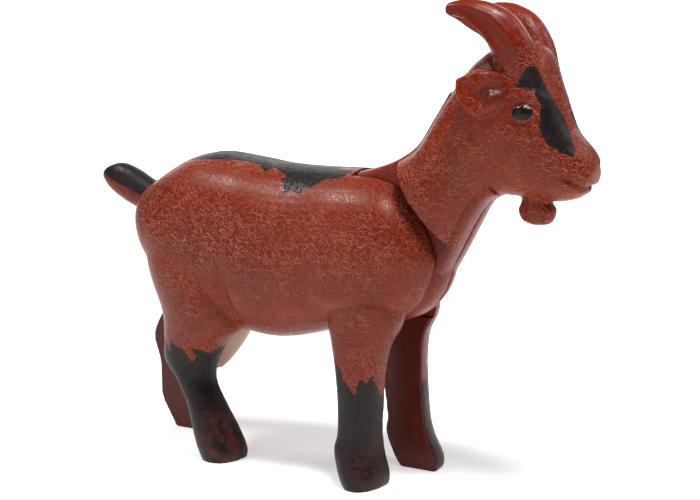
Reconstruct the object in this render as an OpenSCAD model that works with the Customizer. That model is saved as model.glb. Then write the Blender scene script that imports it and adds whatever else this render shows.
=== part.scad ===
// Toy goat moulded in half shells, with a head and neck that nod on a pivot between the shoulders.
// Millimetres. +X is forward, +Y the goat's left, +Z up. The origin is on the ground under the middle.

/* [Body] */
// Half of the barrel's width
belly_half = 10; // [9.6:0.1:10.4]
// Wall of the hollow barrel
wall = 1.6; // [1.2:0.1:2]
// Distance from the middle plane to the flat inner face of each leg
leg_inner = 3.2; // [3:0.1:3.4]
// How much further forward the left fore hoof stands; the step fades out up the leg
foreleg_step = 3.2; // [2.6:0.1:3.4]

/* [Neck joint] */
// Pivot, forward of the origin
pivot_x = 9.6; // [9.5:0.05:9.7]
// Pivot, above the ground
pivot_z = 28.1; // [28:0.05:28.2]
// Radius of the round tongue under the neck
tongue_r = 8.3; // [8:0.05:8.35]
// How far the tongue's rim falls away towards its two faces
rim_crown = 1.4; // [0.6:0.1:1.8]
// Half of the tongue's thickness
tongue_half = 3.4; // [3.2:0.05:3.45]
// Gap round the tongue, on its faces and its rim
slot_gap = 0.3; // [0.25:0.05:0.35]
// Radius of the trunnions moulded on the tongue
trunnion_r = 1.6; // [1.3:0.1:2]
// How far a trunnion reaches from the middle plane
trunnion_reach = 6.6; // [5.5:0.1:7]
// Radial running clearance of a trunnion in its bore
running_gap = 0.05; // [0.03:0.01:0.09]
// Distance from the pivot to the straight rear edge of the neck's skirt
skirt_line = 9.3; // [9:0.05:9.5]
// Slope of the straight rear edge of the neck's skirt, in degrees below level
skirt_angle = 50.6; // [49:0.2:52]

/* [Head] */
// Wall of the hollow head and neck
head_wall = 1.5; // [1.2:0.1:1.8]

/* [Locating pegs] */
// Radius of each peg
peg_r = 1.1; // [0.9:0.1:1.3]
// Length of each peg
peg_length = 2.6; // [2:0.1:3]
// Radial clearance of a peg in its socket
peg_gap = 0.05; // [0.03:0.01:0.1]
// Radius of the boss round each peg
boss_r = 2.3; // [2.1:0.1:2.6]

/* [Inserts] */
// Radius of the stud that holds the udder, and of the one that holds the tail
stud_r = 1.3; // [1.1:0.1:1.5]
// Radius of the head on each stud
stud_head_r = 2.1; // [1.9:0.1:2.3]
// Thickness of the head on each stud
stud_head = 0.9; // [0.7:0.1:1.2]

/* [Hidden] */

coat = [0.50, 0.20, 0.14];
hide = [0.25, 0.19, 0.18];
skin = [0.80, 0.66, 0.54];

far = 60;                 // larger than the whole goat
slot_half = tongue_half + slot_gap;
slot_r = tongue_r + slot_gap;
shoulder_z = 26;          // height at which the forelegs leave the shoulders
squareness = 0.9;         // below 1 fills a section out towards a rectangle
right = -1;
left = 1;

// Each row is one cross-section: x and z of one end, x and z of the other end, half width.
torso_rows = [
    [-27.3, 31.6, -27.2, 33.4, 1.6],
    [-26.6, 28.8, -26.0, 34.8, 4.8],
    [-24.4, 24.8, -23.4, 36.5, 7.6],
    [-20.4, 20.4, -19.4, 38.8, 9.3],
    [-16.0, 18.2, -15.4, 39.8, 9.6],
    [-11.0, 16.8, -11.0, 39.4, 9.7],
    [-5.5, 16.3, -5.5, 38.7, belly_half],
    [0.0, 17.4, 0.0, 38.5, belly_half - 0.2],
    [5.0, 19.0, 5.0, 38.5, 9.6],
    [9.0, 19.4, 9.0, 38.3, 9.3],
    [12.4, 20.3, 12.0, 37.3, 8.4],
    [15.0, 22.2, 14.6, 34.5, 7.2],
    [16.6, 25.0, 16.4, 31.6, 5.4],
    [17.3, 27.3, 17.3, 29.1, 3.9]
];
hind_right_rows = [
    [-24.6, 30.0, -10.5, 29.0, 6.0],
    [-23.6, 24.6, -9.6, 22.4, 6.3],
    [-21.7, 19.2, -9.8, 17.8, 5.7],
    [-21.6, 15.2, -12.7, 15.0, 4.9],
    [-21.6, 12.8, -14.4, 12.0, 4.5],
    [-19.6, 10.2, -14.5, 9.6, 4.2],
    [-18.0, 7.0, -13.0, 6.8, 4.2],
    [-17.3, 4.2, -11.2, 4.0, 4.5],
    [-16.4, 1.6, -10.0, 1.6, 4.8],
    [-15.5, 0.0, -10.0, 0.0, 4.7]
];
hind_left_rows = [
    [-24.8, 30.0, -11.0, 29.0, 6.0],
    [-25.0, 25.0, -11.4, 22.4, 6.2],
    [-26.4, 20.0, -14.2, 17.8, 5.6],
    [-29.0, 15.8, -20.2, 15.0, 4.9],
    [-30.2, 12.8, -23.6, 12.0, 4.5],
    [-29.3, 9.6, -24.3, 9.2, 4.2],
    [-29.2, 7.0, -24.4, 6.8, 4.1],
    [-29.0, 4.2, -23.6, 4.0, 4.3],
    [-27.6, 1.6, -22.2, 1.6, 4.6],
    [-26.6, 0.0, -22.0, 0.0, 4.5]
];
foreleg_rows = [
    [3.8, 26.0, 13.0, 26.0, 4.2],
    [3.2, 21.0, 13.2, 21.0, 5.2],
    [3.9, 17.6, 11.4, 17.6, 4.9],
    [4.5, 14.0, 10.6, 14.0, 4.5],
    [4.8, 10.0, 10.3, 10.0, 4.3],
    [4.8, 6.4, 10.2, 6.4, 4.3],
    [4.4, 4.2, 10.5, 4.0, 4.7],
    [5.2, 1.4, 11.2, 1.4, 5.3],
    [6.0, 0.0, 11.0, 0.0, 5.3]
];
// The neck runs into the head as one form, from the shoulders to the nose.
head_rows = [
    [17.6, 26.6, 6.0, 37.4, 6.0],
    [19.0, 29.2, 8.4, 38.7, 6.3],
    [20.4, 31.9, 11.4, 40.0, 6.3],
    [21.7, 34.2, 14.1, 41.8, 6.0],
    [22.8, 35.5, 16.0, 44.6, 5.7],
    [24.2, 36.2, 18.2, 48.2, 5.7],
    [25.9, 36.2, 21.2, 51.8, 5.6],
    [27.4, 36.1, 24.6, 53.7, 5.5],
    [29.0, 36.0, 28.4, 53.5, 5.1],
    [31.0, 35.8, 30.7, 49.4, 4.2],
    [33.2, 36.4, 32.8, 44.6, 3.4],
    [34.8, 37.7, 34.4, 42.2, 2.8],
    [35.4, 39.2, 35.3, 40.4, 1.5]
];
beard_rows = [
    [26.4, 38.0, 30.4, 38.0, 1.8],
    [26.2, 35.8, 30.4, 35.8, 1.7],
    [26.2, 34.2, 30.5, 34.4, 1.6],
    [27.0, 33.2, 29.8, 33.2, 1.1]
];
tail_rows = [
    [-25.6, 30.6, -25.6, 34.6, 2.05],
    [-28.6, 31.2, -28.0, 35.8, 2.0],
    [-31.2, 32.2, -30.0, 36.8, 2.1],
    [-33.6, 33.6, -32.4, 37.5, 2.0],
    [-35.0, 35.0, -34.4, 37.0, 1.3],
    [-35.4, 35.8, -35.3, 36.2, 0.4]
];
udder_rows = [
    [-22.0, 21.0, -11.0, 20.0, 2.9],
    [-21.6, 17.0, -11.6, 16.6, 2.9],
    [-20.6, 14.0, -13.0, 14.2, 2.7],
    [-19.0, 11.6, -15.0, 11.8, 2.0],
    [-17.9, 10.5, -16.2, 10.6, 0.9]
];
// Horns and ears lean away from the middle plane, so a sixth number is the section's own y.
horn_rows = [
    [23.8, 50.0, 28.6, 50.0, 2.0, 2.2],
    [23.7, 52.4, 28.0, 53.8, 2.2, 2.8],
    [22.8, 54.0, 26.0, 56.4, 2.0, 3.4],
    [21.4, 55.0, 23.4, 57.9, 1.7, 4.1],
    [20.2, 55.9, 21.1, 58.4, 1.4, 4.7],
    [19.3, 56.9, 19.5, 58.0, 0.7, 5.1]
];
ear_rows = [
    [26.0, 46.6, 25.6, 49.6, 1.2, 3.8],
    [24.4, 45.8, 23.8, 50.3, 1.3, 5.4],
    [22.6, 45.9, 21.7, 49.9, 1.1, 6.4],
    [21.3, 47.0, 20.9, 48.7, 0.5, 7.0]
];

// Locating pegs: x and z, the body's pair in the hollow barrel and the head's pair.
body_pegs = [[-18.5, 29.0], [-4.0, 28.0]];
head_pegs = [[27.6, 43.5], [15.2, 31.6]];
// Foot and length of the stud on each insert
udder_stud = [-15.0, 0, 16.0];
udder_stud_length = 5.6;
tail_stud = [-28.6, 0, 33.3];
tail_stud_length = 7.0;

function with_y(rows, y) = [for (r = rows) concat(r, [y])];
function on_side(rows, side) = [for (r = rows) [r[0], r[1], r[2], r[3], r[4], side * r[5]]];
// Rows moved forward by the step at the ground and by nothing at the shoulder
function stepped(rows, step) = [
    for (r = rows)
        let (a = step * (1 - r[1] / shoulder_z), b = step * (1 - r[3] / shoulder_z))
        r + [a, 0, b, 0, 0]
];

// Catmull-Rom curve between rows b and c
function between(a, b, c, d, t) =
    0.5 * (2 * b + (c - a) * t + (2 * a - 5 * b + 4 * c - d) * t * t + (3 * b - a - 3 * c + d) * t * t * t);
function smooth(rows, steps) = let (last = len(rows) - 1) [
    for (i = [0 : last - 1])
        for (j = [0 : steps - 1])
            between(rows[max(i - 1, 0)], rows[i], rows[i + 1], rows[min(i + 2, last)], j / steps),
    rows[last]
];

// Each section drawn in by a wall, without the sections at the two ends
function inset(rows, d, skip_first, skip_last) = [
    for (i = [skip_first : len(rows) - 1 - skip_last])
        let (
            r = rows[i],
            span = [r[2] - r[0], r[3] - r[1]],
            in = d * span / norm(span)
        )
        [r[0] + in[0], r[1] + in[1], r[2] - in[0], r[3] - in[1], r[4] - d]
];

function rounded(v) = sign(v) * pow(abs(v), squareness);
function ring(r, sides) = [
    for (i = [0 : sides - 1])
        let (u = rounded(cos(360 * i / sides)), v = rounded(sin(360 * i / sides)))
        [
            (r[0] + r[2] + u * (r[2] - r[0])) / 2,
            r[5] + v * r[4],
            (r[1] + r[3] + u * (r[3] - r[1])) / 2
        ]
];

// Skin over a run of rows that each have their y
module loft(rows, sides = 20) {
    first = rows[0];
    next = rows[1];
    span = [first[2] - first[0], first[3] - first[1]];
    run = [next[0] + next[2] - first[0] - first[2], next[1] + next[3] - first[1] - first[3]];
    turned = span[0] * run[1] - span[1] * run[0] < 0;
    ordered = turned ? rows : [for (r = rows) [r[2], r[3], r[0], r[1], r[4], r[5]]];
    top = (len(rows) - 1) * sides;
    ends = [
        [for (i = [sides - 1 : -1 : 0]) i],
        [for (i = [0 : sides - 1]) top + i]
    ];
    walls = [
        for (j = [0 : sides : top - sides])
            for (i = [0 : sides - 1])
                let (k = (i + 1) % sides)
                each [[j + i, j + k, j + sides + k], [j + i, j + sides + k, j + sides + i]]
    ];
    polyhedron([for (r = ordered) each ring(r, sides)], concat(ends, walls));
}

// One closed skin from the overlapping forms inside it, at their own size
module one_skin() {
    resize([0, 0, 0]) children();
}

// Everything on one side of the middle plane, from the given distance out
module outside(side, from = 0) {
    translate([-far, side > 0 ? from : -from - far, -far]) cube([2 * far, far, 3 * far]);
}

module about_pivot() {
    translate([pivot_x, 0, pivot_z]) rotate([90, 0, 0]) children();
}

// A round bar across the goat, from one y to another
module cross_bar(x, z, r, y1, y2, facets = 48) {
    translate([x, y2, z]) rotate([90, 0, 0]) cylinder(h = y2 - y1, r = r, $fn = facets);
}

module torso() {
    loft(with_y(smooth(torso_rows, 2), 0), 24);
}

module leg(rows, side) {
    intersection() {
        loft(with_y(smooth(rows, 2), side * leg_inner));
        outside(side, leg_inner);
    }
}

// Space inside the barrel, less the bosses that the pegs stand on
module barrel_space() {
    difference() {
        loft(with_y(smooth(inset(torso_rows, wall, 2, 6), 2), 0), 24);
        for (p = body_pegs) cross_bar(p[0], p[1], boss_r, -far, far, 24);
    }
}

// The slot between the shoulders: a round pocket that is open ahead and above
module slot() {
    about_pivot() cylinder(h = 2 * slot_half, r = slot_r, center = true, $fn = 72);
    translate([0, slot_half, 0]) rotate([90, 0, 0]) linear_extrude(2 * slot_half)
        polygon([
            [5.4, 45], [5.4, 37.2], [7.2, 35.2], [pivot_x, pivot_z],
            [pivot_x + 1, 19.8], [far, 19.8], [far, 45]
        ]);
}

module body_form(side) {
    difference() {
        intersection() {
            union() {
                torso();
                leg(stepped(foreleg_rows, side == left ? foreleg_step : 0), side);
                leg(side == left ? hind_left_rows : hind_right_rows, side);
            }
            outside(side);
        }
        barrel_space();
        slot();
    }
}

// The studs stand up from the udder and run forward from the tail
module at_udder_stud() {
    translate(udder_stud) children();
}

module at_tail_stud() {
    translate(tail_stud) rotate([0, 90, 0]) children();
}

module insert_holes() {
    at_udder_stud() cylinder(h = udder_stud_length, r = stud_r + peg_gap, $fn = 32);
    at_tail_stud() cylinder(h = tail_stud_length, r = stud_r + peg_gap, $fn = 32);
}

module body_shell(side) {
    y = side * trunnion_reach;
    difference() {
        union() {
            one_skin() body_form(side);
            if (side == right)
                for (p = body_pegs) cross_bar(p[0], p[1], peg_r, -1, peg_length);
        }
        about_pivot() cylinder(h = 2 * trunnion_reach + 1, r = trunnion_r + running_gap, center = true, $fn = 64);
        insert_holes();
        if (side == left)
            for (p = body_pegs) cross_bar(p[0], p[1], peg_r + peg_gap, -1, peg_length + 0.3);
    }
}

module body_shell_right() {
    color(coat) body_shell(right);
}

module body_shell_left() {
    color(coat) body_shell(left);
}

// Stud with a head, along +Z from its foot
module stud(length) {
    cylinder(h = length, r = stud_r, $fn = 32);
    translate([0, 0, length - stud_head]) cylinder(h = stud_head, r = stud_head_r, $fn = 32);
}

// A form that stops against the outside of the barrel
module insert_form(rows) {
    one_skin() difference() {
        loft(with_y(smooth(rows, 2), 0), 16);
        torso();
    }
}

module tail() {
    color(hide) {
        insert_form(tail_rows);
        at_tail_stud() stud(tail_stud_length);
    }
}

module udder() {
    color(skin) {
        insert_form(udder_rows);
        at_udder_stud() stud(udder_stud_length);
    }
}

// Everything beyond the straight rear edge of the skirt
module beyond_skirt() {
    translate([pivot_x, 0, pivot_z]) rotate([0, skirt_angle, 0])
        translate([-far, -far, skirt_line]) cube([2 * far, 2 * far, 2 * far]);
}

module neck_and_head() {
    slab = tongue_half - 0.2;
    intersection() {
        loft(with_y(smooth(head_rows, 2), 0), 24);
        union() {
            beyond_skirt();
            translate([-far, -slab, 0]) cube([2 * far, 2 * slab, 2 * far]);
        }
    }
}

// Round tongue with a crowned rim
module tongue() {
    flat = tongue_half / 4;
    about_pivot() rotate_extrude($fn = 72) polygon([
        [0, -tongue_half], [tongue_r - rim_crown, -tongue_half], [tongue_r, -flat],
        [tongue_r, flat], [tongue_r - rim_crown, tongue_half], [0, tongue_half]
    ]);
}

module head_space() {
    difference() {
        loft(with_y(smooth(inset(head_rows, head_wall, 3, 2), 2), 0), 24);
        for (p = head_pegs) cross_bar(p[0], p[1], boss_r, -far, far, 24);
    }
}

module head_form(side) {
    difference() {
        intersection() {
            union() {
                neck_and_head();
                tongue();
                loft(with_y(smooth(beard_rows, 2), 0), 16);
                loft(on_side(smooth(horn_rows, 2), side), 14);
                loft(on_side(smooth(ear_rows, 2), side), 14);
            }
            outside(side);
        }
        head_space();
    }
}

module head_shell(side) {
    difference() {
        union() {
            one_skin() head_form(side);
            cross_bar(pivot_x, pivot_z, trunnion_r, side > 0 ? 2 : -trunnion_reach, side > 0 ? trunnion_reach : -2);
            if (side == right)
                for (p = head_pegs) cross_bar(p[0], p[1], peg_r, -1, peg_length);
        }
        if (side == left)
            for (p = head_pegs) cross_bar(p[0], p[1], peg_r + peg_gap, -1, peg_length + 0.3);
    }
}

module head_shell_right() {
    color(coat) head_shell(right);
}

module head_shell_left() {
    color(coat) head_shell(left);
}

body_shell_right();
body_shell_left();
tail();
udder();
head_shell_right();
head_shell_left();
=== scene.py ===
"""Looks of the toy goat: moulded half shells, a nodding head, a tail and an udder.

Modelled in millimetres: x runs from tail to nose, y to the goat's left, z up from the floor.
"""
import math

import bmesh
import bpy
import numpy as np
from mathutils import Matrix, Vector


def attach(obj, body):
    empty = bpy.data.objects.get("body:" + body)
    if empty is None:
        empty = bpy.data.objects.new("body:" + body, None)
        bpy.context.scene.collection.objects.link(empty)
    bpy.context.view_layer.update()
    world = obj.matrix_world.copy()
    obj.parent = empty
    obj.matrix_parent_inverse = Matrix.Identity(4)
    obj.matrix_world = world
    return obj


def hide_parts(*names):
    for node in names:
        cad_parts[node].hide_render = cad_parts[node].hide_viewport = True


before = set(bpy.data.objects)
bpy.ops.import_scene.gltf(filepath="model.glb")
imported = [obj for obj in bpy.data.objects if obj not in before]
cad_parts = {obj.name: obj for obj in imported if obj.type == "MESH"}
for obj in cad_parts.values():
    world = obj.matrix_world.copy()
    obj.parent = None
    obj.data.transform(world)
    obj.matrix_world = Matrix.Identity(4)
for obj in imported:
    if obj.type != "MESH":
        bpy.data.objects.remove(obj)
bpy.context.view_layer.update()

MM = 0.001
VOXEL = 0.2
RIGHT, LEFT = -1, 1
SIDES = ((RIGHT, "right"), (LEFT, "left"))

# how far the flat inner face of a leg is from the middle plane, and the leg's centre line from it
LEG_INNER = 3.2
FLAT_BELOW = 0.7
# the left foreleg's hoof is this far ahead of the right one's
STEP_FORWARD = 3.2
SHOULDER_Z = 26.0

# the pivot, the neck's round tongue on it, and the slot in the shoulders that takes the tongue
PIVOT = (9.6, 28.1)
TONGUE_R, TONGUE_HALF = 8.3, 3.4
TONGUE_ROUND = 1.7
SLOT_R, SLOT_HALF = 8.6, 3.7
SLOT_BACK, SLOT_FLOOR = 5.75, 19.8
TRUNNION_R, TRUNNION_REACH = 1.6, 6.6
# the straight edge of the neck's skirt: its distance from the pivot, and its slope in degrees
SKIRT_LINE, SKIRT_ANGLE = 8.7, 56.0

# the line that the back curves about, and its radius
AXIS_Z, BACK_R = 28.0, 10.8
# the eye and the ear's hollow: the middle in x and z, and the half axes
EYE, EYE_SIZE = (28.2, 45.95), (1.15, 0.8)
EAR_HOLLOW, EAR_HOLLOW_SIZE = (25.0, 47.9), (1.7, 1.2)
# a paint value where there can be no paint, and the furthest that a stored one goes
UNPAINTED = -9
PAINT_REACH = 3
# edges sharper than this many degrees stay sharp
SHARP_EDGE = 38

# ---------------------------------------------------------------- section tables
# x and z of one end of a section, x and z of the other, half width, and for some the section's y
TORSO = [
    (-27.3, 31.6, -27.2, 33.4, 1.6), (-26.6, 28.8, -26.0, 34.8, 4.8),
    (-24.4, 24.8, -23.4, 36.5, 7.6), (-20.4, 20.4, -19.4, 38.8, 9.3),
    (-16.0, 18.2, -15.4, 39.8, 9.6), (-11.0, 16.8, -11.0, 39.4, 9.7),
    (-5.5, 16.3, -5.5, 38.7, 9.95), (0.0, 17.4, 0.0, 38.5, 9.8),
    (5.0, 19.0, 5.0, 38.5, 9.6), (9.0, 19.4, 9.0, 38.3, 9.3),
    (12.4, 20.3, 12.0, 37.3, 8.4), (15.0, 22.2, 14.6, 34.5, 7.2),
    (16.5, 25.0, 16.3, 31.6, 5.2), (17.1, 27.3, 17.1, 29.1, 3.8),
]
HIND_RIGHT = [
    (-24.6, 30.0, -10.5, 29.0, 6.0), (-23.6, 24.6, -9.6, 22.4, 6.3),
    (-21.7, 19.2, -9.8, 17.8, 5.7), (-21.6, 15.2, -12.7, 15.0, 4.9),
    (-21.6, 12.8, -14.4, 12.0, 4.5), (-19.6, 10.2, -14.5, 9.6, 4.2),
    (-18.0, 7.0, -13.0, 6.8, 4.2), (-17.3, 4.2, -11.2, 4.0, 4.5),
    (-16.4, 1.6, -10.0, 1.6, 4.8), (-15.5, 0.0, -10.0, 0.0, 4.7),
]
HIND_LEFT = [
    (-24.8, 30.0, -11.0, 29.0, 6.0), (-25.0, 25.0, -11.4, 22.4, 6.2),
    (-26.4, 20.0, -14.2, 17.8, 5.6), (-29.0, 15.8, -20.2, 15.0, 4.9),
    (-30.2, 12.8, -23.6, 12.0, 4.5), (-29.3, 9.6, -24.3, 9.2, 4.2),
    (-29.2, 7.0, -24.4, 6.8, 4.1), (-29.0, 4.2, -23.6, 4.0, 4.3),
    (-27.6, 1.6, -22.2, 1.6, 4.6), (-26.6, 0.0, -22.0, 0.0, 4.5),
]
FORELEG = [
    (3.8, 26.0, 13.0, 26.0, 4.2), (3.2, 21.0, 13.2, 21.0, 4.8),
    (3.9, 17.6, 11.4, 17.6, 4.75), (4.5, 14.0, 10.6, 14.0, 4.5),
    (4.8, 10.0, 10.3, 10.0, 4.3), (4.8, 6.4, 10.2, 6.4, 4.3),
    (4.4, 4.2, 10.5, 4.0, 4.7), (5.2, 1.4, 11.2, 1.4, 5.3),
    (6.0, 0.0, 11.0, 0.0, 5.3),
]
# the last two numbers: the section's own y, and how much slimmer it is at its first end
HEAD = [
    (17.6, 26.6, 6.0, 38.3, 6.4, 0, 0.06), (19.0, 29.2, 8.4, 38.9, 6.6, 0, 0.06),
    (20.4, 31.9, 11.4, 40.0, 6.6, 0, 0.08), (21.7, 34.2, 14.1, 41.8, 6.1, 0, 0.16),
    (22.8, 35.5, 16.0, 44.6, 5.7, 0, 0.22), (24.2, 36.2, 18.2, 48.2, 5.6, 0, 0.15),
    (25.9, 36.2, 21.2, 51.8, 5.5, 0, 0.1), (27.4, 36.1, 24.6, 53.5, 5.4, 0, 0.05),
    (29.0, 36.0, 28.7, 53.2, 5.0, 0, 0), (30.9, 35.8, 30.4, 49.6, 4.2, 0, 0),
    (33.2, 36.3, 32.2, 44.7, 3.5, 0, 0), (34.8, 37.5, 34.4, 42.0, 3.0, 0, 0),
    (35.3, 39.2, 35.3, 40.4, 1.5, 0, 0),
]
BEARD = [
    (26.6, 38.0, 30.2, 38.0, 1.9), (26.5, 35.8, 30.0, 35.8, 1.7), (26.1, 34.7, 30.5, 34.9, 1.7),
    (26.5, 33.6, 30.4, 33.9, 1.5), (27.3, 33.1, 29.9, 33.2, 1.0), (28.2, 32.95, 29.2, 33.0, 0.5),
]
TAIL = [
    (-25.6, 30.6, -25.6, 34.6, 2.05), (-28.6, 31.2, -28.0, 35.8, 2.0),
    (-31.2, 32.2, -30.0, 36.8, 2.1), (-33.6, 33.6, -32.4, 37.5, 2.0),
    (-35.0, 35.0, -34.4, 37.0, 1.3), (-35.4, 35.8, -35.3, 36.2, 0.4),
]
UDDER = [
    (-22.0, 21.0, -11.0, 20.0, 2.9), (-21.6, 17.0, -11.6, 16.6, 2.9),
    (-20.6, 14.0, -13.0, 14.2, 2.7), (-19.0, 11.6, -15.0, 11.8, 2.0),
    (-17.9, 10.5, -16.2, 10.6, 0.9),
]
HORN = [
    (25.4, 47.0, 30.2, 48.4, 1.8, 2.2), (24.4, 49.6, 29.4, 51.0, 2.2, 2.7),
    (23.7, 52.4, 28.3, 54.0, 2.1, 3.3),
    (22.8, 54.0, 26.3, 56.7, 1.95, 3.7), (21.4, 55.1, 23.6, 58.1, 1.7, 4.2),
    (20.2, 56.0, 21.1, 58.4, 1.45, 4.7), (19.3, 56.6, 19.5, 58.1, 1.1, 5.1),
    (19.05, 56.9, 19.15, 57.8, 0.7, 5.2),
]
EAR = [
    (26.7, 46.8, 26.4, 49.5, 1.2, 3.8), (25.2, 46.0, 24.6, 50.2, 1.3, 5.4),
    (23.4, 45.5, 22.5, 50.2, 1.1, 6.4), (22.2, 46.0, 21.6, 49.6, 0.8, 6.9),
    (21.8, 47.2, 21.4, 48.9, 0.4, 7.1),
]

# ---------------------------------------------------------------- painted outlines
# the saddle and the bare streak in it: distance along the goat, and arc length from the spine
SADDLE = [
    (-29.0, -3.0), (-29.0, 1.6), (-24.0, 1.9), (-20.5, 2.4), (-18.1, 3.5), (-14.8, 4.1), (-12.0, 3.3),
    (-9.5, 2.9), (-7.6, 3.2), (-6.1, 4.6), (-5.6, 3.2), (-2.6, 4.9), (-3.4, 5.4), (-2.5, 6.3),
    (-1.9, 8.1), (-1.2, 7.1), (0.4, 7.7), (0.7, 6.6), (1.6, 6.7), (2.9, 5.0), (4.7, 4.7),
    (5.3, 3.4), (5.9, 1.6), (6.0, -3.0),
]
STREAK = [(2.2, 1.3), (4.0, 0.8), (6.5, 0.9), (6.5, 2.0), (4.0, 1.9)]
# the stockings and the blaze: x and z, as they are on the right side
STOCKING_FORE = [
    (2.0, 16.2), (4.4, 15.9), (5.9, 15.4), (6.7, 14.8), (6.9, 13.7), (7.9, 12.6), (8.5, 11.8),
    (8.8, 13.2), (9.2, 13.9), (9.6, 13.2), (10.1, 14.2), (10.3, 13.0), (10.35, 11.2), (10.8, 11.8),
    (11.6, 13.2), (16.0, 13.0), (20.0, -2.0), (0.0, -2.0),
]
STOCKING_HIND = [
    (-25.0, 16.8), (-21.4, 16.6), (-20.2, 15.6), (-19.4, 14.6), (-18.9, 13.9), (-18.7, 15.6),
    (-17.2, 14.9), (-16.6, 14.5), (-15.8, 12.8), (-15.2, 13.6), (-15.4, 14.8), (-14.5, 14.7),
    (-13.8, 14.0), (-13.0, 14.8), (-9.0, 15.0), (-5.0, -2.0), (-28.0, -2.0),
]
BLAZE = [
    (28.5, 51.1), (29.2, 51.0), (29.5, 50.2), (30.2, 48.6), (31.4, 46.2), (32.4, 44.1), (33.4, 42.1),
    (33.7, 41.1), (32.3, 41.6), (30.8, 42.6), (30.0, 44.2), (30.0, 46.7), (29.3, 48.2),
    (28.6, 48.6), (27.1, 48.7), (27.7, 49.7),
]
# the blaze's distance from the middle plane, and that of its low part on the left side
BLAZE_INNER, BLAZE_INNER_LOW = 1.5, 0.8
BLAZE_LOW_Z = 46

# ---------------------------------------------------------------- moulding seams
BACK_SEAM = [(-24, 0, 38.4), (-16, 0, 40), (-8, 0, 39), (4, 0, 38.6)]
BELLY_SEAM = [(-22, 0, 20), (-10, 0, 16.8), (0, 0, 17.3), (8, 0, 19.2)]
FACE_SEAM = [
    (30.6, 0, 36), (33, 0, 36.8), (35, 0, 39), (34.6, 0, 41.6), (31.5, 0, 47.6), (29.6, 0, 53),
    (28.6, 0, 54.5), (25, 0, 54.5), (21, 0, 52), (16, 0, 46), (11, 0, 39.8),
]
THROAT_SEAM = [(17.6, 0, 26.6), (19, 0, 29.2), (20.4, 0, 31.9), (22, 0, 34.8), (26, 0, 36.1)]
BIB_SEAM = [
    (24.5, 0, 36.2), (22.0, 0, 35.2), (20.4, 0, 31.9), (19.0, 0, 29.2), (17.9, 0, 26.4),
    (16.4, 0, 23.4), (14.0, 0, 21.0), (11.4, 0, 20.0), (8.5, 0, 19.8),
]
# half width and depth of the fine seams, and of the deeper one down the throat
FINE_SEAM, FACE_GROOVE, THROAT_GROOVE = (0.16, 0.09), (0.16, 0.1), (0.27, 0.28)


# ---------------------------------------------------------------- mesh helpers
def smooth_rows(rows, steps):
    """Catmull-Rom curve through the rows of a table."""
    rows = np.array(rows, float)
    last = len(rows) - 1
    out = []
    for i in range(last):
        a, b, c, d = rows[max(i - 1, 0)], rows[i], rows[i + 1], rows[min(i + 2, last)]
        for j in range(steps):
            t = j / steps
            line = 2 * b + (c - a) * t
            curve = (2 * a - 5 * b + 4 * c - d) * t * t + (3 * b - a - 3 * c + d) * t ** 3
            out.append((line + curve) / 2)
    out.append(rows[last])
    return np.array(out)


def tube_faces(rings, sides):
    """Faces of a closed tube over rings of points, with a cap at each end."""
    faces = [list(range(sides)), [(rings - 1) * sides + i for i in reversed(range(sides))]]
    for j in range(rings - 1):
        for i in range(sides):
            k = (i + 1) % sides
            faces.append([j * sides + i, (j + 1) * sides + i, (j + 1) * sides + k, j * sides + k])
    return faces


def loft(rows, side=0, flat=None, limit=None, sides=56, steps=7, squareness=0.92):
    """Closed skin over the sections. A flat stops it at that distance from the middle plane,
    and a limit squeezes it to within that distance on both sides."""
    rows = np.array(rows, float)
    if rows.shape[1] == 5:
        rows = np.column_stack([rows, np.zeros(len(rows))])
        if flat is not None:
            rows[:, 4] -= FLAT_BELOW
            rows[:, 5] = flat + FLAT_BELOW
    if rows.shape[1] == 6:
        rows = np.column_stack([rows, np.zeros(len(rows))])
    rows = smooth_rows(rows, steps)
    turn = np.arange(sides) * 2 * math.pi / sides
    u = np.sign(np.cos(turn)) * np.abs(np.cos(turn)) ** squareness
    v = np.sign(np.sin(turn)) * np.abs(np.sin(turn)) ** squareness
    middle = (rows[:, 0:2] + rows[:, 2:4]) / 2
    span = (rows[:, 2:4] - rows[:, 0:2]) / 2
    x = middle[:, 0:1] + u * span[:, 0:1]
    z = middle[:, 1:2] + u * span[:, 1:2]
    y = rows[:, 5:6] + v * rows[:, 4:5] * (1 + rows[:, 6:7] * u)
    if limit is not None:
        y = limit * np.tanh((np.abs(y) / limit) ** 2.5) ** 0.4 * np.sign(y)
    if flat is not None:
        y = np.maximum(y, flat)
    if side == RIGHT:
        y = -y
    points = np.stack([x, y, z], axis=-1).reshape(-1, 3)
    return points, tube_faces(len(rows), sides)


def lathe_across(profile, centre, sides=96):
    """Solid of revolution about a line across the goat. The profile is radius and y, from axis to axis."""
    turn = np.arange(sides) * 2 * math.pi / sides
    points = []
    for radius, y in profile:
        ring = [(centre[0] + radius * math.cos(t), y, centre[1] + radius * math.sin(t)) for t in turn]
        points.extend(ring)
    return np.array(points, float), tube_faces(len(profile), sides)


def slab(outline, y_from, y_to):
    """Prism across the goat over an outline in x and z."""
    count = len(outline)
    points = [(x, y_from, z) for x, z in outline] + [(x, y_to, z) for x, z in outline]
    faces = [list(range(count)), [count + i for i in reversed(range(count))]]
    for i in range(count):
        k = (i + 1) % count
        faces.append([i, count + i, count + k, k])
    return np.array(points, float), faces


def solid(name, parts):
    """Mesh object from closed skins that may overlap."""
    points, faces, base = [], [], 0
    for part_points, part_faces in parts:
        points.append(part_points)
        faces.extend([[base + i for i in face] for face in part_faces])
        base += len(part_points)
    mesh = bpy.data.meshes.new(name)
    mesh.from_pydata(np.vstack(points).tolist(), [], faces)
    work = bmesh.new()
    work.from_mesh(mesh)
    bmesh.ops.recalc_face_normals(work, faces=work.faces)
    work.to_mesh(mesh)
    work.free()
    thing = bpy.data.objects.new(name, mesh)
    bpy.context.scene.collection.objects.link(thing)
    return thing


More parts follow.
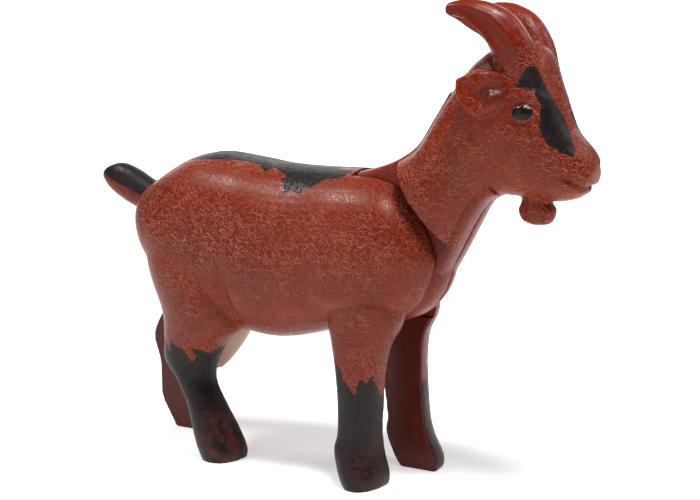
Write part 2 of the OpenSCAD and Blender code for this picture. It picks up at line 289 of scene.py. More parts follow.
def settle(thing):
    """Makes a thing's modifiers part of its mesh."""
    graph = bpy.context.evaluated_depsgraph_get()
    mesh = bpy.data.meshes.new_from_object(thing.evaluated_get(graph))
    thing.modifiers.clear()
    old = thing.data
    thing.data = mesh
    bpy.data.meshes.remove(old)
    return thing


def skinned(thing, voxel):
    """One even skin over everything in the thing."""
    change = thing.modifiers.new("skin", "REMESH")
    change.mode = "VOXEL"
    change.voxel_size = voxel
    change.adaptivity = 0.0
    return settle(thing)


def cut(thing, other, how="DIFFERENCE", keep=False):
    """Cuts a thing with another closed one, or joins it, and removes the other unless it is kept."""
    change = thing.modifiers.new("cut", "BOOLEAN")
    change.operation = how
    change.solver = "MANIFOLD"
    change.object = other
    bpy.context.view_layer.update()
    settle(thing)
    if not keep:
        bpy.data.objects.remove(other)
    return thing


def points_of(thing):
    """Places of all the points of a mesh, one row each."""
    co = np.zeros(len(thing.data.vertices) * 3, np.float32)
    thing.data.vertices.foreach_get("co", co)
    return co.reshape(-1, 3).astype(float)


def normals_of(thing):
    """Outward directions at all the points of a mesh."""
    no = np.zeros(len(thing.data.vertices) * 3, np.float32)
    thing.data.vertex_normals.foreach_get("vector", no)
    return no.reshape(-1, 3).astype(float)


def move_points(thing, co):
    """Gives the points of a mesh new places."""
    thing.data.vertices.foreach_set("co", co.astype(np.float32).ravel())
    thing.data.update()


def edges_of(thing):
    """The two end points of every edge of a mesh."""
    ends = np.zeros(len(thing.data.edges) * 2, np.int32)
    thing.data.edges.foreach_get("vertices", ends)
    return ends.reshape(-1, 2)


def relax(thing, rounds, weight=None):
    """Smooths without shrinking. Weight is how much each point may move."""
    co = points_of(thing)
    a, b = edges_of(thing).T
    both = np.concatenate([a, b])
    other = np.concatenate([b, a])
    count = np.maximum(np.bincount(both, minlength=len(co)), 1)[:, None]
    share = 1.0 if weight is None else weight[:, None]
    for k in range(rounds):
        for factor in (0.5, -0.52):
            mean = np.stack([np.bincount(both, co[other, i], len(co)) for i in range(3)], 1) / count
            co = co + factor * share * (mean - co)
    move_points(thing, co)


def away_from(points, path):
    """Distance of 2-D or 3-D points from a path of straight runs, and how far along the path."""
    path = np.array(path, float)
    best = np.full(len(points), 1e9)
    along = np.zeros(len(points))
    total = len(path) - 1
    for k in range(total):
        a, b = path[k], path[k + 1]
        run = b - a
        t = np.clip(((points - a) @ run) / (run @ run), 0, 1)
        d = np.linalg.norm(points - a - t[:, None] * run, axis=1)
        near = d < best
        best[near] = d[near]
        along[near] = (k + t[near]) / total
    return best, along


def inside(points, outline):
    """Signed distance from a closed outline, positive inside."""
    outline = np.array(outline, float)
    d, _ = away_from(points, np.vstack([outline, outline[:1]]))
    odd = np.zeros(len(points), bool)
    for k in range(len(outline)):
        a, b = outline[k], outline[(k + 1) % len(outline)]
        spans = (a[1] > points[:, 1]) != (b[1] > points[:, 1])
        rise = np.where(b[1] == a[1], 1e-9, b[1] - a[1])
        odd ^= spans & (points[:, 0] < a[0] + (points[:, 1] - a[1]) / rise * (b[0] - a[0]))
    return np.where(odd, d, -d)


class Clay:
    """A skin being worked: each stroke raises or lowers it along its own normals."""

    def __init__(self, thing):
        self.thing = thing
        self.co = points_of(thing)
        self.no = normals_of(thing)
        self.rise = np.zeros(len(self.co))

    def line(self, side, path, width, depth, least_y=0.0, fade=True):
        """Groove, or ridge if depth is negative, along a path in x and z on one side."""
        d, along = away_from(self.co[:, [0, 2]], path)
        ends = np.sin(np.pi * np.clip(along, 0, 1)) ** 0.5 if fade else 1.0
        here = (self.co[:, 1] * side > least_y) & (d < 3 * width)
        self.rise -= np.where(here, depth * ends * np.exp(-((d / width) ** 2)), 0)

    def groove(self, path, width, depth, fade=False):
        """Groove along a path in space."""
        d, along = away_from(self.co, path)
        ends = np.sin(np.pi * np.clip(along, 0, 1)) ** 0.5 if fade else 1.0
        self.rise -= depth * ends * np.exp(-((d / width) ** 2))

    def lump(self, centre, radius, height):
        """Raised round place, the same on both sides."""
        x, y, z = centre
        for side in (RIGHT, LEFT):
            d = np.linalg.norm((self.co - (x, y * side, z)) / np.array(radius, float), axis=1)
            self.rise += height * np.exp(-(d ** 2))

    def done(self):
        """Moves the skin by everything that was worked into it."""
        move_points(self.thing, self.co + self.no * self.rise[:, None])


def half(whole, side, name):
    """The part of a whole on one side of the middle plane, closed with a flat face."""
    piece = whole.copy()
    piece.data = whole.data.copy()
    piece.name = name
    bpy.context.scene.collection.objects.link(piece)
    # a block that is larger than the goat
    low, high = (0.0, 60.0) if side == LEFT else (-60.0, 0.0)
    box = slab([(-80, -80), (80, -80), (80, 120), (-80, 120)], low, high)
    return cut(piece, solid("half_space", [box]), "INTERSECT")


def finish_piece(thing, name, material, node, body):
    """Sharp edges, the final name and scale, and its place in the frame."""
    work = bmesh.new()
    work.from_mesh(thing.data)
    bmesh.ops.dissolve_degenerate(work, edges=work.edges, dist=1e-5)
    for edge in work.edges:
        if len(edge.link_faces) == 2:
            edge.smooth = edge.calc_face_angle(0) < math.radians(SHARP_EDGE)
    for face in work.faces:
        face.smooth = True
    work.to_mesh(thing.data)
    work.free()
    thing.data.transform(Matrix.Scale(MM, 4))
    thing.name = name
    thing.data.name = name
    thing.data.materials.clear()
    thing.data.materials.append(material)
    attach(thing, body)
    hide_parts(node)


def note(thing, name, values):
    """Stores one number per point for the material to read."""
    made = thing.data.attributes.new(name, "FLOAT", "POINT")
    made.data.foreach_set("value", np.asarray(values, np.float32))


# ---------------------------------------------------------------- forms
def stepped(rows, step):
    """A leg's sections leaned forward, by the whole step at the floor and by none at the shoulder."""
    return [
        (a + step * (1 - b / SHOULDER_Z), b, c + step * (1 - d / SHOULDER_Z), d, w)
        for a, b, c, d, w in rows
    ]


def shoulder_slot():
    """The two solids that clear the shoulders for the neck: a round pocket, and an opening above it."""
    disc = lathe_across([(SLOT_R, -SLOT_HALF), (SLOT_R, SLOT_HALF)], PIVOT)
    pocket = solid("slot_disc", [disc])
    x, z = PIVOT
    outline = [
        (SLOT_BACK, 45), (SLOT_BACK, 37.2), (7.2, 35.2), (x, z),
        (x + 1, SLOT_FLOOR), (60, SLOT_FLOOR), (60, 45),
    ]
    return pocket, solid("slot_open", [slab(outline, -SLOT_HALF, SLOT_HALF)])


def body_whole():
    """Barrel and legs as one skin, worked and with the slot cut, before it is halved."""
    parts = [
        loft(TORSO),
        loft(FORELEG, RIGHT, LEG_INNER),
        loft(stepped(FORELEG, STEP_FORWARD), LEFT, LEG_INNER),
        loft(HIND_RIGHT, RIGHT, LEG_INNER),
        loft(HIND_LEFT, LEFT, LEG_INNER),
    ]
    body = skinned(solid("body", parts), VOXEL)
    relax(body, 12)
    co = points_of(body)
    # the edges of the legs' flat inner faces, below the belly, are smoothed once more
    by_edge = np.exp(-((np.abs(co[:, 1]) - LEG_INNER) / 0.7) ** 2)
    belly_z = 17
    relax(body, 20, np.where(co[:, 2] < belly_z, by_edge, 0.0))
    clay = Clay(body)
    sculpt_body(clay)
    clay.done()
    for pocket in shoulder_slot():
        cut(body, pocket)
    return body


def sculpt_body(clay):
    """Muscles, folds and seams of the barrel."""
    # hip, the front of the shoulder, the hollow between them, and the top of the foreleg
    clay.lump((-10.5, 7.5, 35.5), (4.5, 4.0, 4.0), 0.5)
    clay.lump((12.0, 6.5, 33.5), (3.6, 3.0, 4.5), 0.5)
    clay.lump((-1.0, 8.0, 35.0), (4.5, 4.0, 5.0), -0.45)
    clay.lump((8.5, 8.2, 23.3), (5.5, 3.0, 2.2), 0.5)
    # flank fold in front of the thigh, and the crease behind the shoulder
    clay.line(RIGHT, [(-9.6, 27.5), (-9.9, 24.0), (-9.8, 20.8), (-8.4, 18.6)], 0.95, 0.6, 4)
    clay.line(LEFT, [(-9.6, 27.5), (-10.2, 24.0), (-10.8, 20.8), (-11.5, 18.4)], 0.95, 0.6, 4)
    clay.line(RIGHT, [(2.4, 27.5), (2.2, 23.5), (2.8, 20.0)], 1.4, 0.35, 4)
    clay.line(LEFT, [(3.0, 27.5), (3.0, 23.5), (3.8, 20.0)], 1.4, 0.35, 4)
    clay.groove(BACK_SEAM, *FINE_SEAM)
    clay.groove(BELLY_SEAM, *FINE_SEAM)


def head_whole():
    """Head and neck as one skin down to the skirt, with the bib and trunnions, before it is halved."""
    upper = solid("head", [
        loft(HEAD), loft(BEARD),
        loft(HORN, LEFT), loft(HORN, RIGHT),
        loft(EAR, LEFT), loft(EAR, RIGHT),
    ])
    skinned(upper, VOXEL)
    relax(upper, 8)
    clay = Clay(upper)
    sculpt_head(clay)
    clay.done()
    # the full width of the neck ends at the straight edge of the skirt
    turn = math.radians(SKIRT_ANGLE)
    along = np.array([math.cos(turn), -math.sin(turn)])
    ahead = np.array([math.sin(turn), math.cos(turn)])
    base = np.array(PIVOT) + SKIRT_LINE * ahead
    outline = [
        base - 60 * along, base + 60 * along,
        base + 60 * along - 90 * ahead, base - 60 * along - 90 * ahead,
    ]
    cut(upper, solid("below_skirt", [slab(outline, -30, 30)]))
    cut(upper, bib(), "UNION")
    bar = [(TRUNNION_R, -TRUNNION_REACH), (TRUNNION_R, TRUNNION_REACH)]
    return cut(upper, solid("trunnions", [lathe_across(bar, PIVOT, 48)]), "UNION")


def bib():
    """The narrow part of the neck that passes between the shoulders, with the round tongue below it."""
    rim = []
    for k in range(13):
        y = -TONGUE_HALF + k * TONGUE_HALF / 6
        bulge = math.sqrt(max(0.0, 1 - (y / (TONGUE_HALF + 0.02)) ** 2))
        rim.append((TONGUE_R - TONGUE_ROUND + TONGUE_ROUND * bulge, y))
    neck = loft(HEAD[:6], limit=TONGUE_HALF - 0.05, squareness=0.7)
    under = skinned(solid("bib", [neck, lathe_across(rim, PIVOT)]), VOXEL)
    relax(under, 6)
    clay = Clay(under)
    clay.groove(BIB_SEAM, *THROAT_GROOVE)
    clay.done()
    return under


def sculpt_head(clay):
    """Eyelids, mouth, ears, horn ridges, folds, beard and seams."""
    for side in (RIGHT, LEFT):
        # eyelids above and below, with the corner creases
        clay.line(side, [(26.9, 45.8), (27.4, 46.8), (28.3, 47.1), (29.4, 46.5)], 0.24, 0.3, 2)
        clay.line(side, [(26.9, 45.4), (27.6, 44.8), (28.6, 44.8), (29.4, 45.5)], 0.24, 0.25, 2)
        clay.line(side, [(26.6, 46.6), (27.8, 47.7), (29.4, 47.9), (30.6, 47.0)], 0.45, -0.2, 2)
        # mouth and nostril
        clay.line(side, [(32.4, 38.8), (33.4, 38.1), (34.3, 37.5), (35.3, 37.6)], 0.26, 0.42, -0.2, False)
        clay.line(side, [(32.0, 39.4), (33.2, 39.2), (34.2, 38.6)], 0.6, -0.15, 1)
        clay.line(side, [(34.7, 39.3), (35.0, 39.7), (35.1, 40.1)], 0.26, 0.35, 1.1, False)
        # the ear's rolled rim and its hollow
        rim = [
            (27.0, 49.2), (25.2, 50.0), (23.2, 50.1), (21.7, 49.3),
            (21.9, 47.8), (22.8, 46.3), (23.8, 45.4),
        ]
        clay.line(side, rim, 0.36, -0.5, 4.6)
        clay.line(side, [(26.2, 48.6), (24.9, 48.7), (24.0, 48.0), (24.2, 46.6)], 0.65, 0.75, 4)
        # two ridges along the outer side of the horn with a hollow below them, and the horn's root
        front = [(19.3, 57.6), (21.6, 57.6), (24.4, 56.6), (26.3, 54.6), (27.6, 52.2)]
        clay.line(side, front, 0.3, -0.25, 2.5)
        outer = [(19.2, 57.1), (21.4, 56.5), (23.5, 54.9), (24.9, 52.9), (25.9, 51.0)]
        clay.line(side, outer, 0.28, -0.4, 2)
        clay.line(side, [(19.8, 56.7), (21.6, 55.8), (23.1, 54.3), (24.2, 52.4)], 0.4, 0.3, 2)
        clay.line(side, [(22.6, 52.6), (24.2, 51.8), (25.6, 51.6)], 0.4, 0.3, 1)
        # jaw line and the folds of the throat
        clay.line(side, [(22.6, 44.6), (23.4, 42.3), (24.8, 40.0), (27.0, 38.0)], 0.55, 0.16, 2)
        clay.line(side, [(21.9, 36.0), (20.7, 34.0), (19.7, 32.1), (18.8, 30.0)], 0.35, 0.22, 1.5)
        clay.line(side, [(22.3, 35.7), (21.3, 33.8), (20.3, 31.6)], 0.25, 0.14, 1.0)
        # strands of the beard
        for x, low in ((27.4, 33.6), (28.7, 33.2), (29.7, 33.6)):
            clay.line(side, [(x, 36.2), (x - 0.1, 34.8), (x - 0.2, low)], 0.22, 0.2, 0.2)
    clay.lump((EYE[0], 5.0, EYE[1]), (1.0, 2, 0.8), 0.35)
    clay.groove(FACE_SEAM, *FACE_GROOVE)
    clay.groove(THROAT_SEAM, *THROAT_GROOVE)


def tail_whole():
    """The tail with its root, which the barrel then cuts off."""
    tail = skinned(solid("tail", [loft(TAIL)]), VOXEL)
    relax(tail, 5)
    return tail


def udder_whole():
    """The udder with its root, and a crease down its right side."""
    udder = skinned(solid("udder", [loft(UDDER)]), VOXEL)
    relax(udder, 5)
    clay = Clay(udder)
    clay.groove([(-12.0, -3.4, 16.4), (-13.2, -3.0, 14.2), (-14.6, -2.4, 12.6)], 0.3, 0.35, True)
    clay.done()
    return udder


# ---------------------------------------------------------------- paint
# numbers stored for the materials: paint and eye are above 0 inside a painted outline; worn, the
# painted shade and hair are amounts from 0 to 1
def part_way(value, start, end):
    """How far a value has gone from the start to the end, held between 0 and 1."""
    return np.clip((value - start) / (end - start), 0, 1)


def across_outline(x, z, outline):
    """Signed distance inside an outline of points given by two columns."""
    return inside(np.column_stack([x, z]), outline)


def in_oval(x, z, centre, size):
    """1 in the middle of an oval, 0 on its edge and negative outside."""
    return 1 - np.hypot((x - centre[0]) / size[0], (z - centre[1]) / size[1])


def paint_body(thing, side):
    """Saddle, stockings, worn hooves, and painted shade on the bare inner faces of the legs."""
    x, y, z = points_of(thing).T
    out = y * side
    hind_end = x < 0
    fall = np.arctan2(out, z - AXIS_Z) * BACK_R
    saddle = np.minimum(across_outline(x, fall, SADDLE), -across_outline(x, fall, STREAK))
    saddle = np.where(z > AXIS_Z, saddle, UNPAINTED)
    # the left legs stand elsewhere than the right ones, and their stockings go with them
    step, shift = 0.0, 0.0
    if side == LEFT:
        step = STEP_FORWARD * (1 - z / SHOULDER_Z)
        shift = np.interp(z, [0, 9, 12.5, 16], [-12, -9.6, -9.0, -7.4])
    fore = across_outline(x - step, z, STOCKING_FORE)
    hind = across_outline(x - shift, z, STOCKING_HIND)
    legs = np.minimum(np.maximum(fore, hind), (out - LEG_INNER - 0.15) * 2)
    note(thing, "paint", np.clip(np.maximum(saddle, legs), -PAINT_REACH, PAINT_REACH))
    # paint is rubbed off low on the front of the hooves, and less on the forelegs
    hoof_front = np.where(hind_end, x + 13.5 - shift, x - 9 - step)
    worn = part_way(z, 8.0, 5.0) * np.clip(0.6 + hoof_front / 4, 0, 1)
    note(thing, "worn", worn * np.where(hind_end, 1.0, 0.4))
    # painted shade: the bare inner faces of the legs go darker below the belly, where shade falls between
    # the legs
    inner_top = np.where(x > 8, 21.0, 17.5)
    inner = part_way(out, LEG_INNER + 0.3, LEG_INNER + 0.15) * part_way(z, inner_top, inner_top - 1.5)
    note(thing, "inner", inner)
    stocking = part_way(legs, 0, 0.25)
    note(thing, "hair", (1 - inner) * (1 - 0.7 * stocking))


def paint_head(thing, side):
    """Blaze, eye, painted shade in the ear's hollow and the gap below the skirt, and the places with
    little hair.
    """
    x, y, z = points_of(thing).T
    out = y * side
    # the left blaze comes nearer the middle than the right one, low on the face
    low = (z < BLAZE_LOW_Z) & (side == LEFT)
    ridge = np.where(low, BLAZE_INNER_LOW, BLAZE_INNER)
    wider = np.where(low, 0.8, -0.5) if side == LEFT else 0.0
    blaze = np.minimum(across_outline(x, z, BLAZE) + wider, (out - ridge) * 1.2)
    eye = np.where(out > 2.5, in_oval(x, z, EYE, EYE_SIZE) * 0.8, UNPAINTED)
    note(thing, "paint", np.clip(blaze, -PAINT_REACH, PAINT_REACH))
    note(thing, "eye", np.clip(eye, -PAINT_REACH, PAINT_REACH))
    # how far a point is below the edge of the skirt
    turn = math.radians(SKIRT_ANGLE)
    ahead = (x - PIVOT[0]) * math.sin(turn) + (z - PIVOT[1]) * math.cos(turn)
    below = part_way(ahead, SKIRT_LINE, SKIRT_LINE - 0.3)
    # painted shade: darker in the ear's hollow, and on the sides of the bib in the gap below the skirt
    ear_hollow_shade = np.clip(in_oval(x, z, EAR_HOLLOW, EAR_HOLLOW_SIZE) * 2, 0, 0.6) * part_way(out, 4.4, 4.65)
    skirt_gap_shade = below * np.clip((out - 2.9) * 4, 0, 0.7) * part_way(z, 36.8, 35.8) * part_way(z, 27, 29)
    note(thing, "inner", np.maximum(ear_hollow_shade, skirt_gap_shade))
    note(thing, "worn", np.zeros(len(x)))
    horn = part_way(z, 52.0, 54.5)
    smooth = part_way(np.maximum(blaze, eye), 0, 0.25)
    ear = part_way(out, 4.8, 5.2) * part_way(z, 44, 45)
    note(thing, "hair", (1 - 0.8 * horn) * (1 - 0.9 * smooth) * (1 - 0.7 * ear) * (1 - 0.8 * below))


def paint_tail(thing):
    """The tail is black above its middle line."""
    co = points_of(thing)
    middle = 32.4 + (-25.6 - co[:, 0]) * 0.39
    note(thing, "paint", np.clip(co[:, 2] - middle - 0.2, -PAINT_REACH, PAINT_REACH))
    for name in ("worn", "inner"):
        note(thing, name, np.zeros(len(co)))
    note(thing, "hair", np.full(len(co), 0.25))


# ---------------------------------------------------------------- materials
class Shade:
    """Short names for building a material's nodes."""

    def __init__(self, name):
        self.material = bpy.data.materials.new(name)
        self.material.use_nodes = True
        self.tree = self.material.node_tree
        self.shader = self.tree.nodes["Principled BSDF"]
        place = self.tree.nodes.new("ShaderNodeTexCoord")
        scale = self.tree.nodes.new("ShaderNodeVectorMath")
        scale.operation = "SCALE"
        scale.inputs["Scale"].default_value = 1 / MM
        self.link(place.outputs["Object"], scale.inputs[0])
        self.place = scale.outputs[0]

    def link(self, a, b):
        """Joins one socket to another."""
        self.tree.links.new(a, b)

    def give(self, socket, value):
        """Links a socket to an input, or sets a plain value on it."""
        if isinstance(value, bpy.types.NodeSocket):
            self.link(value, socket)
        else:
            socket.default_value = value

    def math(self, how, a, b=0.0):
        """One operation on numbers."""
        node = self.tree.nodes.new("ShaderNodeMath")
        node.operation = how
        self.give(node.inputs[0], a)
        self.give(node.inputs[1], b)
        return node.outputs[0]

    def stored(self, name):
        """A number that note() stored on the mesh."""
        node = self.tree.nodes.new("ShaderNodeAttribute")
        node.attribute_name = name
        return node.outputs["Fac"]

    def noise(self, scale, detail=2.0, rough=0.5):
        """Cloudy noise with this many features per millimetre."""
        node = self.tree.nodes.new("ShaderNodeTexNoise")
        node.inputs["Scale"].default_value = scale
        node.inputs["Detail"].default_value = detail
        node.inputs["Roughness"].default_value = rough
        self.link(self.place, node.inputs["Vector"])
        return node.outputs["Fac"]

    def ramp(self, value, low, high, to_low=0.0, to_high=1.0):
        """Eases from one output to another while the value goes from low to high."""
        node = self.tree.nodes.new("ShaderNodeMapRange")
        node.interpolation_type = "SMOOTHSTEP"
        self.give(node.inputs["Value"], value)
        node.inputs["From Min"].default_value = low
        node.inputs["From Max"].default_value = high
        node.inputs["To Min"].default_value = to_low
        node.inputs["To Max"].default_value = to_high
        return node.outputs[0]

    def mix(self, amount, a, b):
        """Colour between two colours."""
        node = self.tree.nodes.new("ShaderNodeMix")
        node.data_type = "RGBA"
        self.give(node.inputs[0], amount)
        self.give(node.inputs[6], a)
        self.give(node.inputs[7], b)
        return node.outputs[2]

    def bump(self, height, distance, strength=1.0, under=None):
        """Shallow relief, on top of another relief if there is one under it."""
        node = self.tree.nodes.new("ShaderNodeBump")
        node.inputs["Distance"].default_value = distance
        node.inputs["Strength"].default_value = strength
        self.give(node.inputs["Height"], height)
        if under:
            self.link(under, node.inputs["Normal"])
        return node.outputs[0]


def linear(red, green, blue):
    """Colour from 0 to 255 levels."""
    def one(level):
        c = level / 255
        return c / 12.92 if c <= 0.04045 else ((c + 0.055) / 1.055) ** 2.4
    return (one(red), one(green), one(blue), 1.0)


BROWN_DARK = linear(105, 22, 5)
BROWN_LIGHT = linear(117, 31, 6)
BROWN_DEEP = linear(89, 17, 4)
# lighter hair strokes on the brown: partly dry-brushed hair tips, partly painted glints off the hair
TAN_HAIR_AND_GLINT = linear(208, 124, 88)
# painted shade: the dark brown for the shaded inner faces of the legs, the ear's hollow and the gap under
# the skirt
PAINTED_SHADE_BROWN = linear(78, 26, 20)
BLACK = linear(27, 17, 17)
# grey hair strokes on black paint: partly the moulded hair showing, partly painted sheen
GREY_HAIR_AND_GLINT = linear(76, 56, 52)
WORN = linear(84, 38, 28)
EYE_BLACK = linear(26, 18, 18)
UDDER_TOP = linear(178, 148, 126)
UDDER_TIP = linear(168, 118, 98)
STUDIO_WHITE = (0.9, 0.9, 0.9, 1)
LIGHT_WHITE = (1, 1, 1, 1)

# a hair's way is random, from 0 to 1 on each axis, less this, and so 0.5 less this on average
HAIR_LIE = (0.15, 0.5, 0.72)
# each layer's strokes per millimetre, offset, half length, half width and curl
HAIR_LAYERS = [
    (1.25, (0.0, 0.0, 0.0), 0.44, 0.054, 0.18),
    (1.45, (7.3, 3.1, 5.7), 0.38, 0.05, 0.25),
    (1.6, (1.9, 8.4, 2.2), 0.35, 0.048, 0.3),
    (1.3, (4.6, 6.2, 9.1), 0.42, 0.054, 0.15),
    (1.8, (9.8, 1.7, 3.4), 0.32, 0.048, 0.35),
    (1.5, (2.7, 5.5, 7.9), 0.38, 0.05, 0.22),
]
# a hair's curl and tone come from its random way, scrambled by these
SCRAMBLE = (37.0, 53.0, 71.0)
HAIR_STRENGTH, GREY_HAIR_STRENGTH = 0.8, 0.14
# relief in millimetres
HAIR_RELIEF, GRAIN_RELIEF = 0.07, 0.05
# the coat's roughness from place to place, what black paint adds, and what the eye leaves of it
COAT_ROUGH, BLACK_ROUGHER, EYE_ROUGH = (0.27, 0.38), 0.08, 0.6
COAT_SPECULAR = 0.22
# how soft the edge of a painted marking is
PAINT_EDGE = 0.05


def vector_step(shade, how, a, b=None, factor=None):
    """One vector operation; the result is a number for a dot product."""
    node = shade.tree.nodes.new("ShaderNodeVectorMath")
    node.operation = how
    shade.give(node.inputs[0], a)
    if b is not None:
        shade.give(node.inputs[1], b)
    if factor is not None:
        shade.give(node.inputs["Scale"], factor)
    return node.outputs["Value"] if how == "DOT_PRODUCT" else node.outputs["Vector"]


def strokes(shade, normal, cells, offset, half_length, half_width, curl):
    """One short curved stroke in every cell, lying in the surface."""
    at = vector_step(shade, "ADD", shade.place, offset)
    cell = shade.tree.nodes.new("ShaderNodeTexVoronoi")
    cell.inputs["Scale"].default_value = cells
    shade.link(at, cell.inputs["Vector"])
    way = vector_step(shade, "SUBTRACT", cell.outputs["Color"], HAIR_LIE)
    across = vector_step(shade, "NORMALIZE", vector_step(shade, "CROSS_PRODUCT", normal, way))
    along = vector_step(shade, "CROSS_PRODUCT", across, normal)
    away = vector_step(shade, "SUBTRACT", at, cell.outputs["Position"])
    u = vector_step(shade, "DOT_PRODUCT", away, along)
    v = vector_step(shade, "DOT_PRODUCT", away, across)
    scrambled = vector_step(shade, "DOT_PRODUCT", cell.outputs["Color"], SCRAMBLE)
    chance = shade.math("SINE", scrambled)
    bow = shade.math("MULTIPLY", chance, curl)
    bent = shade.math("SUBTRACT", v, shade.math("MULTIPLY", bow, shade.math("MULTIPLY", u, u)))
    body = shade.ramp(shade.math("ABSOLUTE", bent), 0.0, half_width, 1.0, 0.0)
    ends = shade.ramp(shade.math("ABSOLUTE", u), half_length * 0.7, half_length, 1.0, 0.0)
    tone = shade.ramp(shade.math("ABSOLUTE", chance), 0.45, 1.0, 0.05, 1.0)
    return shade.math("MULTIPLY", shade.math("MULTIPLY", body, ends), tone)


def hair_lines(shade):
    """Dense short curved strokes, in layers over one another."""
    source = shade.tree.nodes.new("ShaderNodeTexCoord")
    normal = source.outputs["Normal"]
    total = 0.0
    for layer in HAIR_LAYERS:
        total = shade.math("MAXIMUM", total, strokes(shade, normal, *layer))
    return total


def coat_material(name, with_eye=False, fray_size=0.42):
    """Brown plastic with moulded hair, black paint with a frayed edge, and the eye if it has one."""
    shade = Shade(name)
    hair = shade.math("MULTIPLY", hair_lines(shade), shade.stored("hair"))
    strength = shade.ramp(shade.noise(0.35, 2.0), 0.3, 0.7, 0.5, 1.0)
    # broad mottling and fine dark specks, then the lighter hair strokes, partly painted glints, then
    # painted shade on the legs' bare inner faces, in the ear's hollow and under the skirt
    mottle = shade.ramp(shade.noise(0.16, 2.0), 0.3, 0.7)
    fine = shade.ramp(shade.noise(1.6, 3.0, 0.6), 0.35, 0.68)
    brown = shade.mix(mottle, BROWN_DARK, BROWN_LIGHT)
    brown = shade.mix(shade.math("MULTIPLY", fine, 0.3), brown, BROWN_DEEP)
    tan = shade.math("MULTIPLY", shade.math("MULTIPLY", hair, strength), HAIR_STRENGTH)
    brown = shade.mix(tan, brown, TAN_HAIR_AND_GLINT)
    # painted shade, by the stored amount
    brown = shade.mix(shade.stored("inner"), brown, PAINTED_SHADE_BROWN)
    # black paint with a frayed edge, rubbed through where it is worn
    fray = shade.math("MULTIPLY", shade.math("SUBTRACT", shade.noise(2.0, 3.0), 0.5), fray_size)
    edge = shade.ramp(shade.math("ADD", shade.stored("paint"), fray), -PAINT_EDGE, PAINT_EDGE)
    # hair strokes in the black paint, partly painted sheen
    black = shade.mix(shade.math("MULTIPLY", hair, GREY_HAIR_STRENGTH), BLACK, GREY_HAIR_AND_GLINT)
    worn = shade.math("MULTIPLY", shade.stored("worn"), shade.ramp(shade.noise(0.5, 3.0), 0.35, 0.6))
    black = shade.mix(shade.math("MULTIPLY", worn, 0.75), black, WORN)
    colour = shade.mix(edge, brown, black)
    if with_eye:
        eye = shade.ramp(shade.stored("eye"), -PAINT_EDGE, PAINT_EDGE)
        colour = shade.mix(eye, colour, EYE_BLACK)
    shade.give(shade.shader.inputs["Base Color"], colour)
    rough = shade.ramp(shade.noise(0.9, 3.0), 0.3, 0.7, *COAT_ROUGH)
    rough = shade.math("ADD", rough, shade.math("MULTIPLY", edge, BLACK_ROUGHER))
    if with_eye:
        rough = shade.math("MULTIPLY", rough, shade.ramp(eye, 0.0, 1.0, 1.0, EYE_ROUGH))
    shade.give(shade.shader.inputs["Roughness"], rough)
    grain = shade.bump(shade.noise(2.2, 3.0, 0.6), GRAIN_RELIEF * MM, 0.25)
    shade.give(shade.shader.inputs["Normal"], shade.bump(hair, HAIR_RELIEF * MM, 1.0, grain))
    shade.shader.inputs["Specular IOR Level"].default_value = COAT_SPECULAR
    return shade.material


def skin_material():
    """Beige plastic, pinker towards the tip of the udder."""
    shade = Shade("udder_plastic_look")
    low = shade.tree.nodes.new("ShaderNodeSeparateXYZ")
    shade.link(shade.place, low.inputs[0])
    pink = shade.ramp(low.outputs["Z"], 15.5, 11.0)
    colour = shade.mix(pink, UDDER_TOP, UDDER_TIP)
    shade.give(shade.shader.inputs["Base Color"], colour)
    shade.shader.inputs["Roughness"].default_value = 0.42
    grain = shade.bump(shade.noise(1.8, 3.0), GRAIN_RELIEF * MM, 0.5)
    shade.give(shade.shader.inputs["Normal"], grain)
    return shade.material


def studio_material(name, glow):
    """Plain pale surface with a glow of its own, which keeps it white."""
    shade = Shade(name)
    shade.shader.inputs["Base Color"].default_value = STUDIO_WHITE
    shade.shader.inputs["Emission Color"].default_value = LIGHT_WHITE
    shade.shader.inputs["Emission Strength"].default_value = glow
    shade.shader.inputs["Roughness"].default_value = 0.9
    return shade.material


# ---------------------------------------------------------------- building
CAMERA_AZIMUTH, CAMERA_ELEVATION = 29.5, 9.0
CAMERA_DISTANCE, CAMERA_LENS = 158.0, 65.0
CAMERA_TARGET = (3.6, 0, 28.1)
# metres
BACKDROP_DISTANCE, BACKDROP_HALF, BACKDROP_HEIGHT = 0.5, 0.3, 0.11
WORLD_STRENGTH = 0.08
# name, place, what it is aimed at, width and height, watts
LAMPS = [
    ("key", (85, -50, 262), (5, 0, 28), (65, 55), 0.63),
    ("second", (-120, -50, 255), (-5, 0, 28), (65, 55), 0.4),
    ("fill", (-120, -260, 120), (0, 0, 28), (200, 150), 0.12),
    ("side", (200, 130, 210), (20, 0, 40), (120, 120), 0.2),
    ("back", (-160, 330, 160), (-150, 300, 0), (500, 200), 0.8),
]


def build_goat():
    """Models, paints and places all six pieces."""
    coat = coat_material("brown_coat_look")
    head_coat = coat_material("head_coat_look", True, 0.12)
    tail_coat = coat_material("tail_plastic_look")
    body = body_whole()
    head = head_whole()
    for side, word in SIDES:
        shell = half(body, side, "shell")
        paint_body(shell, side)
        finish_piece(shell, "coat_shell_" + word, coat, "body_shell_" + word, "torso")
        shell = half(head, side, "shell")
        paint_head(shell, side)
        node = "head_shell_" + word
        finish_piece(shell, "head_half_" + word, head_coat, node, "head_and_neck")
    # the tail and the udder end at the skin of the barrel
    torso = skinned(solid("torso", [loft(TORSO)]), VOXEL)
    tail = cut(tail_whole(), torso, keep=True)
    paint_tail(tail)
    finish_piece(tail, "tail_insert", tail_coat, "tail", "torso")
    udder = cut(udder_whole(), torso)
    finish_piece(udder, "udder_insert", skin_material(), "udder", "torso")
    for thing in (body, head):
        bpy.data.objects.remove(thing)


def sheet(name, corners, material):
    """One flat piece of the studio."""
    mesh = bpy.data.meshes.new(name)
    mesh.from_pydata(corners, [], [(0, 1, 2, 3)])
    thing = bpy.data.objects.new(name, mesh)
    bpy.context.scene.collection.objects.link(thing)
    mesh.materials.append(material)


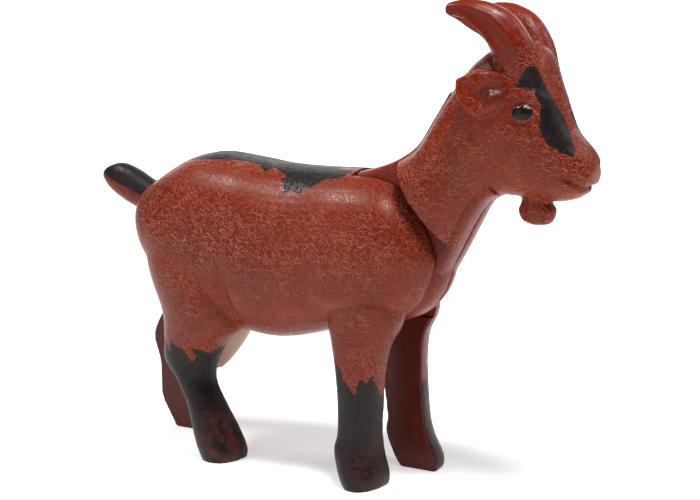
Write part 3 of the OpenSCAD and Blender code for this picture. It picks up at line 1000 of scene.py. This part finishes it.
def build_floor():
    """A wide floor, and a low backdrop square to the camera, both in metres."""
    size = 1.6
    corners = [(-size, -size, 0), (size, -size, 0), (size, size, 0), (-size, size, 0)]
    sheet("floor", corners, studio_material("floor_look", 0.35))
    azimuth = math.radians(CAMERA_AZIMUTH)
    away = Vector((-math.sin(azimuth), math.cos(azimuth), 0))
    aside = Vector((math.cos(azimuth), math.sin(azimuth), 0))
    middle = away * BACKDROP_DISTANCE
    left = middle - aside * BACKDROP_HALF
    right = middle + aside * BACKDROP_HALF
    up = Vector((0, 0, BACKDROP_HEIGHT))
    sheet("backdrop", [left, right, right + up, left + up], studio_material("backdrop_look", 1.0))


def area_light(name, place, towards, size, power):
    """A rectangular lamp, given in millimetres and watts."""
    lamp = bpy.data.lights.new(name, "AREA")
    lamp.shape = "RECTANGLE"
    lamp.size = size[0] * MM
    lamp.size_y = size[1] * MM
    lamp.energy = power
    thing = bpy.data.objects.new(name, lamp)
    bpy.context.scene.collection.objects.link(thing)
    thing.location = Vector(place) * MM
    thing.rotation_mode = "QUATERNION"
    thing.rotation_quaternion = (Vector(towards) * MM - thing.location).to_track_quat("-Z", "Y")


def build_lights():
    """A faint even world, two soft lamps overhead, one in front, one at the side and one behind."""
    world = bpy.data.worlds.new("studio")
    bpy.context.scene.world = world
    world.use_nodes = True
    ground = world.node_tree.nodes["Background"]
    ground.inputs["Color"].default_value = LIGHT_WHITE
    ground.inputs["Strength"].default_value = WORLD_STRENGTH
    for lamp in LAMPS:
        area_light(*lamp)


def build_camera():
    """The camera that the goat is matched from."""
    camera = bpy.data.cameras.new("camera")
    camera.sensor_width = 36
    camera.lens = CAMERA_LENS
    camera.clip_start = 0.01
    camera.clip_end = 10
    thing = bpy.data.objects.new("camera", camera)
    bpy.context.scene.collection.objects.link(thing)
    azimuth = math.radians(CAMERA_AZIMUTH)
    elevation = math.radians(CAMERA_ELEVATION)
    back = Vector((
        math.sin(azimuth) * math.cos(elevation),
        -math.cos(azimuth) * math.cos(elevation),
        math.sin(elevation),
    ))
    thing.location = (Vector(CAMERA_TARGET) + back * CAMERA_DISTANCE) * MM
    thing.rotation_mode = "QUATERNION"
    thing.rotation_quaternion = (-back).to_track_quat("-Z", "Y")
    bpy.context.scene.camera = thing


build_goat()
build_floor()
build_lights()
build_camera()
bpy.context.scene.view_settings.view_transform = "Standard"
